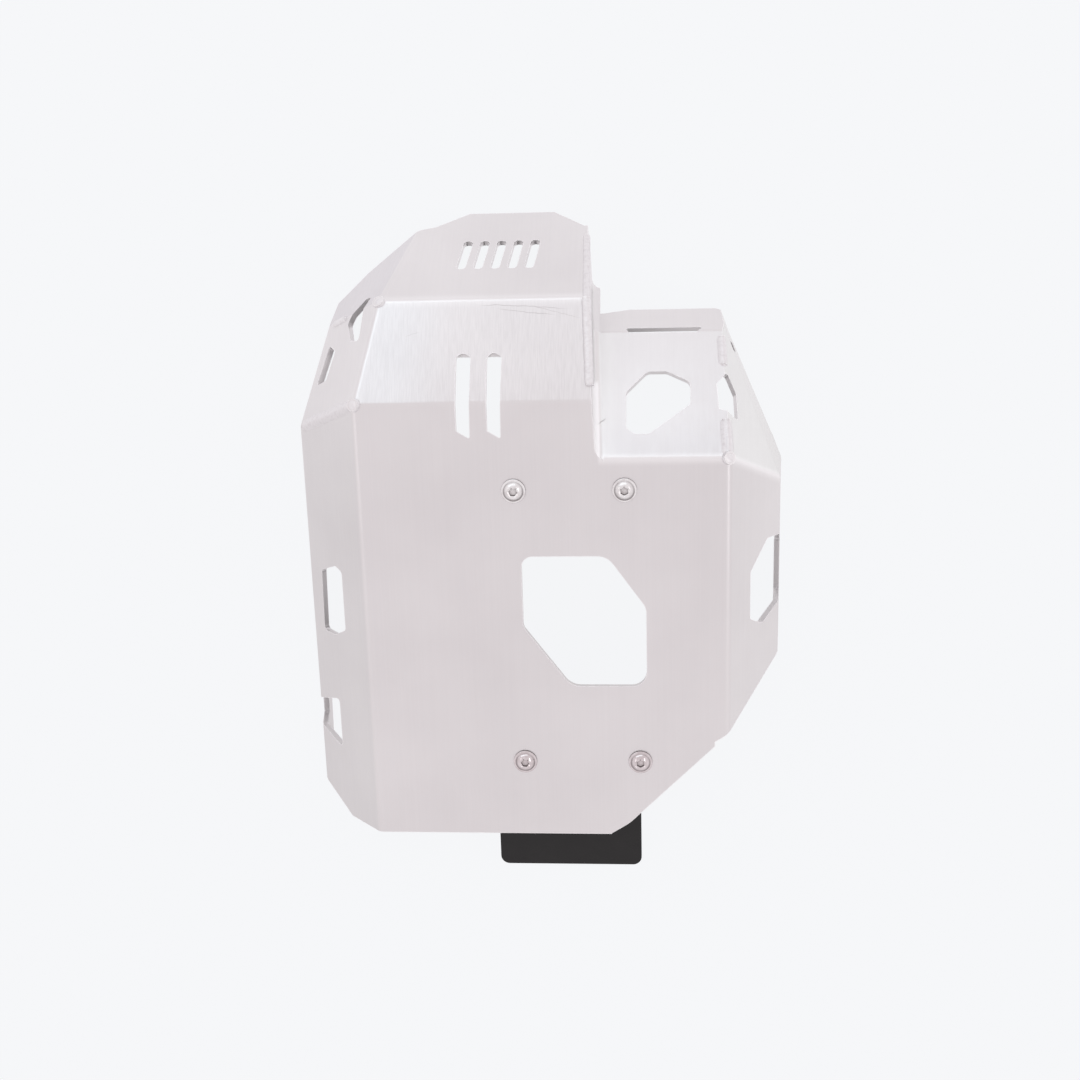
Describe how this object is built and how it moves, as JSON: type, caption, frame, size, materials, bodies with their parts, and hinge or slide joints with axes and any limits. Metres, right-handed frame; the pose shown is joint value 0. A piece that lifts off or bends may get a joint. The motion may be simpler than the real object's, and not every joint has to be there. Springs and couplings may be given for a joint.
{
  "type": "motorcycle skid plate",
  "caption": "Folded and welded aluminium skid plate for a motorcycle, with button head screws, black steel mounting brackets and cooling openings, lying open side down.",
  "frame": {"origin": "centre of the bounding box in plan, on the ground that the plate's rim lies on", "axes": "+X towards the motorcycle's left side, +Y towards its front wheel, +Z away from the motorcycle, out of the plate's ground side"},
  "size_m": [0.3624, 0.5132, 0.1136],
  "materials": {
    "plate_aluminium": "brushed",
    "bracket_black": "satin powder coat",
    "fastener_steel": "satin"
  },
  "bodies": {
    "root": {"skid_plate": "plate_aluminium", "front_bracket": "bracket_black", "rear_bracket": "bracket_black", "front_screws": "fastener_steel", "rear_screws": "fastener_steel", "front_nuts": "fastener_steel", "rear_nuts": "fastener_steel"}
  },
  "joints": []
}
